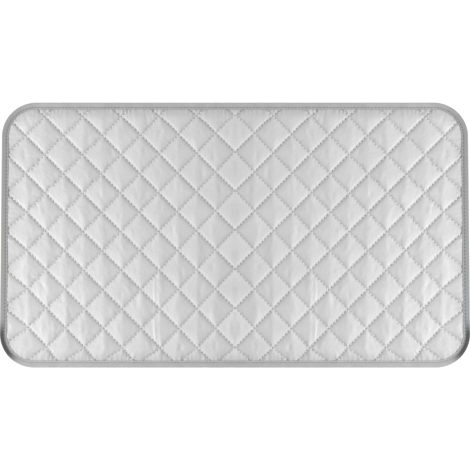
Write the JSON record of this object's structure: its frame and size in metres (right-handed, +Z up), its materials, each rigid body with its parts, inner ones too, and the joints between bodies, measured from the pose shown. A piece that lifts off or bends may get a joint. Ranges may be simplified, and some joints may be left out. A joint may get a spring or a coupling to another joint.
{
  "type": "ironing pad",
  "caption": "Flat quilted ironing pad that folds in thirds: silver cloth over wadding and a lining, sewn in diamonds and bound round its edge with tape.",
  "frame": {"origin": "under the centre of the pad, on the surface that it lies on", "axes": "+X along the pad's length, to the right in the picture, +Y towards the picture's top, +Z up out of the silver face"},
  "size_m": [0.85, 0.482, 0.0075],
  "materials": {
    "silver_cloth": "satin silver-coated woven cloth",
    "wadding": "matt fibre wadding",
    "lining": "matt plain-woven lining",
    "tape": "matt ribbed binding tape",
    "thread": "twisted sewing thread"
  },
  "bodies": {
    "left_panel": {"top_cover_left": "silver_cloth", "wadding_left": "wadding", "backing_left": "lining", "quilting_thread_left": "thread", "binding_left": "tape", "binding_seam_left": "thread"},
    "middle_panel": {"top_cover_middle": "silver_cloth", "wadding_middle": "wadding", "backing_middle": "lining", "quilting_thread_middle": "thread", "binding_front": "tape", "binding_seam_front": "thread", "binding_rear": "tape", "binding_seam_rear": "thread"},
    "right_panel": {"top_cover_right": "silver_cloth", "wadding_right": "wadding", "backing_right": "lining", "quilting_thread_right": "thread", "binding_right": "tape", "binding_seam_right": "thread"}
  },
  "joints": [
    {"name": "fold_left", "type": "hinge", "parent": "middle_panel", "child": "left_panel", "pos_m": [-0.145, 0, 0.0078], "axis": [0, 1, 0], "range_deg": [0, 179.9]},
    {"name": "fold_right", "type": "hinge", "parent": "middle_panel", "child": "right_panel", "pos_m": [0.145, 0, 0.0121], "axis": [0, -1, 0], "range_deg": [0, 179.9]}
  ]
}
